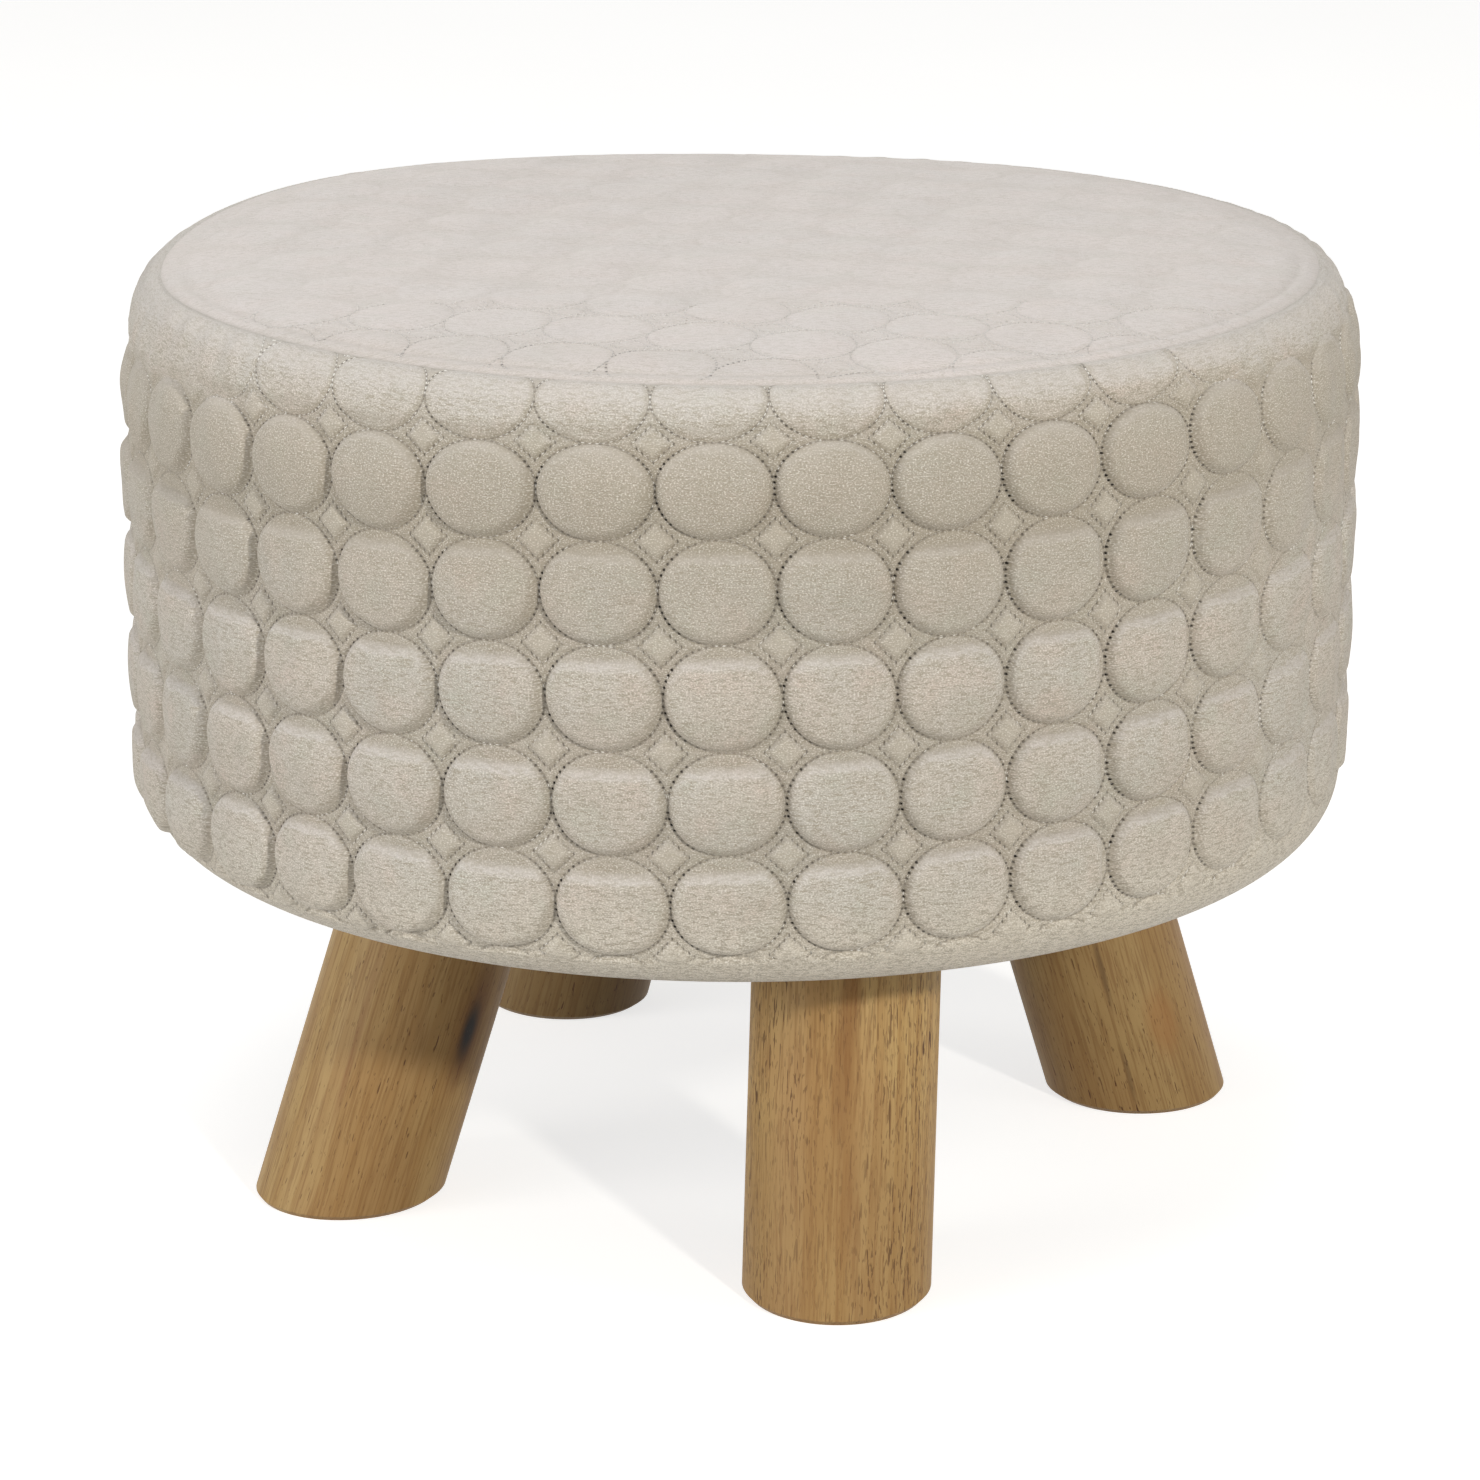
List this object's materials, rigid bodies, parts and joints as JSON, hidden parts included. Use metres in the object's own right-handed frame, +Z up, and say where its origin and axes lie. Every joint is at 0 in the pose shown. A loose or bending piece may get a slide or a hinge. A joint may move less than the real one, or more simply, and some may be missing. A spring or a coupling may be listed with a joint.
{
  "type": "footstool",
  "caption": "Round padded footstool with a quilted cover, a low crown and splayed round wooden legs on a wooden drum.",
  "frame": {"origin": "on the floor, under the centre of the cushion", "axes": "+Z up along the cushion's axis, -Y towards the viewer of the picture, +X to the viewer's right"},
  "size_m": [0.3505, 0.3504, 0.2678],
  "materials": {
    "velvet": "matte",
    "foam": "matte",
    "lining": "matte",
    "pine": "satin",
    "plywood": "matte",
    "hardboard": "matte",
    "zinc_steel": "satin"
  },
  "bodies": {
    "root": {"cover_side_panel": "velvet", "cover_top_panel": "velvet", "side_foam_wrap": "foam", "top_foam_pad": "foam", "dust_cover": "lining", "base_board": "plywood", "top_board": "plywood", "drum_wall": "hardboard", "post_right_back": "pine", "post_back_left": "pine", "post_left_front": "pine", "post_front_right": "pine", "leg_right": "pine", "leg_back": "pine", "leg_left": "pine", "leg_front": "pine", "hanger_bolt_right": "zinc_steel", "hanger_bolt_back": "zinc_steel", "hanger_bolt_left": "zinc_steel", "hanger_bolt_front": "zinc_steel", "tee_nut_right": "zinc_steel", "tee_nut_back": "zinc_steel", "tee_nut_left": "zinc_steel", "tee_nut_front": "zinc_steel", "base_board_screws": "zinc_steel", "top_board_screws": "zinc_steel", "cover_staples": "zinc_steel", "dust_cover_staples": "zinc_steel"}
  },
  "joints": []
}
